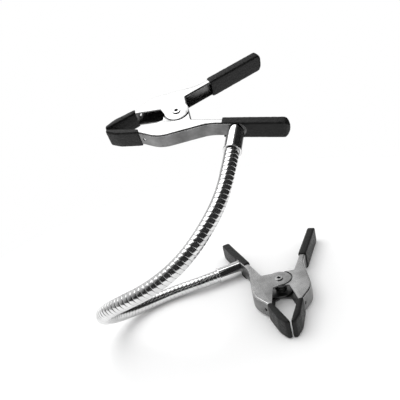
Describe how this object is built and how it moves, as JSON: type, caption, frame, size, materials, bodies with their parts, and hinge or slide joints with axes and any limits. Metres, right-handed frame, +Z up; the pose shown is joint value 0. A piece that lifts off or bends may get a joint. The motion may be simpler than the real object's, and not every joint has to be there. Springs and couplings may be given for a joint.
{
  "type": "helping hands clamp",
  "caption": "Bendable gooseneck arm with a sprung, rubber-padded steel clamp bolted to each end, one gripping or lying on the bench and the other holding work in the air.",
  "frame": {"origin": "centre of the whole object's footprint, on the bench that the lower clamp lies on", "axes": "+Z up; the lower clamp's jaws point to -Y and its moving lever is on the +X side; the upper clamp's jaws point to -X"},
  "size_m": [0.2136, 0.1784, 0.2103],
  "materials": {
    "plated_steel": "bright nickel plate on pressed steel",
    "chrome": "polished chrome",
    "spring_wire": "dark drawn wire",
    "zinc_hardware": "zinc plate",
    "black_vinyl": "matte dipped vinyl"
  },
  "bodies": {
    "lower_clamp": {"lower_fixed_lever": "plated_steel", "lower_fixed_pad": "black_vinyl", "lower_fixed_grip": "black_vinyl", "lower_rivet": "zinc_hardware", "lower_spring": "spring_wire", "lower_ferrule": "chrome", "lower_screw": "zinc_hardware", "lower_lock_washer": "zinc_hardware", "neck_link_01": "chrome"},
    "lower_jaw": {"lower_moving_lever": "plated_steel", "lower_moving_pad": "black_vinyl", "lower_moving_grip": "black_vinyl"},
    "neck_02": {"neck_link_02": "chrome"},
    "neck_03": {"neck_link_03": "chrome"},
    "neck_04": {"neck_link_04": "chrome"},
    "neck_05": {"neck_link_05": "chrome"},
    "neck_06": {"neck_link_06": "chrome"},
    "neck_07": {"neck_link_07": "chrome"},
    "neck_08": {"neck_link_08": "chrome"},
    "neck_09": {"neck_link_09": "chrome"},
    "neck_10": {"neck_link_10": "chrome"},
    "neck_11": {"neck_link_11": "chrome"},
    "upper_clamp": {"neck_link_12": "chrome", "upper_fixed_lever": "plated_steel", "upper_fixed_pad": "black_vinyl", "upper_fixed_grip": "black_vinyl", "upper_rivet": "zinc_hardware", "upper_spring": "spring_wire", "upper_ferrule": "chrome", "upper_screw": "zinc_hardware", "upper_lock_washer": "zinc_hardware"},
    "upper_jaw": {"upper_moving_lever": "plated_steel", "upper_moving_pad": "black_vinyl", "upper_moving_grip": "black_vinyl"}
  },
  "joints": [
    {"name": "lower_jaw_open", "type": "hinge", "parent": "lower_clamp", "child": "lower_jaw", "pos_m": [0.05546, -0.0101, 0.0088], "axis": [0, 0, 1], "range_deg": [0, 42], "stiffness_Nm_per_rad": 1.5, "springref_deg": -91.67, "deforming": ["lower_spring"]},
    {"name": "neck_lift_01", "type": "hinge", "parent": "lower_clamp", "child": "neck_02", "pos_m": [-0.03177, 0.01844, 0.00776], "axis": [0.1738, -0.9848, -0.0067], "range_deg": [-12, 28]},
    {"name": "neck_turn_02", "type": "hinge", "parent": "neck_02", "child": "neck_03", "pos_m": [-0.06053, 0.0102, 0.00645], "axis": [0.0169, 0.0042, -0.9998], "range_deg": [-12, 28]},
    {"name": "neck_lift_03", "type": "hinge", "parent": "neck_03", "child": "neck_04", "pos_m": [-0.08502, -0.00633, 0.00956], "axis": [0.7165, -0.6964, -0.041], "range_deg": [-12, 28]},
    {"name": "neck_turn_04", "type": "hinge", "parent": "neck_04", "child": "neck_05", "pos_m": [-0.09897, -0.02978, 0.02107], "axis": [-0.361, -0.4306, -0.8272], "range_deg": [-12, 28]},
    {"name": "neck_lift_05", "type": "hinge", "parent": "neck_05", "child": "neck_06", "pos_m": [-0.09784, -0.05348, 0.03878], "axis": [0.8861, -0.0241, -0.4628], "range_deg": [-12, 28]},
    {"name": "neck_turn_06", "type": "hinge", "parent": "neck_06", "child": "neck_07", "pos_m": [-0.08193, -0.07185, 0.05581], "axis": [-0.2191, -0.8421, -0.4928], "range_deg": [-12, 28]},
    {"name": "neck_lift_07", "type": "hinge", "parent": "neck_07", "child": "neck_08", "pos_m": [-0.05677, -0.08152, 0.0685], "axis": [0.3819, 0.355, -0.8533], "range_deg": [-12, 28]},
    {"name": "neck_turn_08", "type": "hinge", "parent": "neck_08", "child": "neck_09", "pos_m": [-0.02958, -0.08181, 0.08085], "axis": [0.2865, -0.9241, -0.2529], "range_deg": [-12, 28]},
    {"name": "neck_lift_09", "type": "hinge", "parent": "neck_09", "child": "neck_10", "pos_m": [-0.00544, -0.07285, 0.09595], "axis": [0.3977, 0.3548, -0.8461], "range_deg": [-12, 28]},
    {"name": "neck_turn_10", "type": "hinge", "parent": "neck_10", "child": "neck_11", "pos_m": [0.01387, -0.0569, 0.11234], "axis": [0.7134, -0.6992, 0.0467], "range_deg": [-12, 28]},
    {"name": "neck_lift_11", "type": "hinge", "parent": "neck_11", "child": "upper_clamp", "pos_m": [0.02771, -0.03644, 0.12923], "axis": [0.4363, 0.3972, -0.8074], "range_deg": [-12, 28]},
    {"name": "upper_jaw_open", "type": "hinge", "parent": "upper_clamp", "child": "upper_jaw", "pos_m": [-0.00426, 0.03394, 0.17403], "axis": [-0.0186, 0.5152, -0.8569], "range_deg": [0, 42], "stiffness_Nm_per_rad": 1.5, "springref_deg": -91.67, "deforming": ["upper_spring"]}
  ]
}
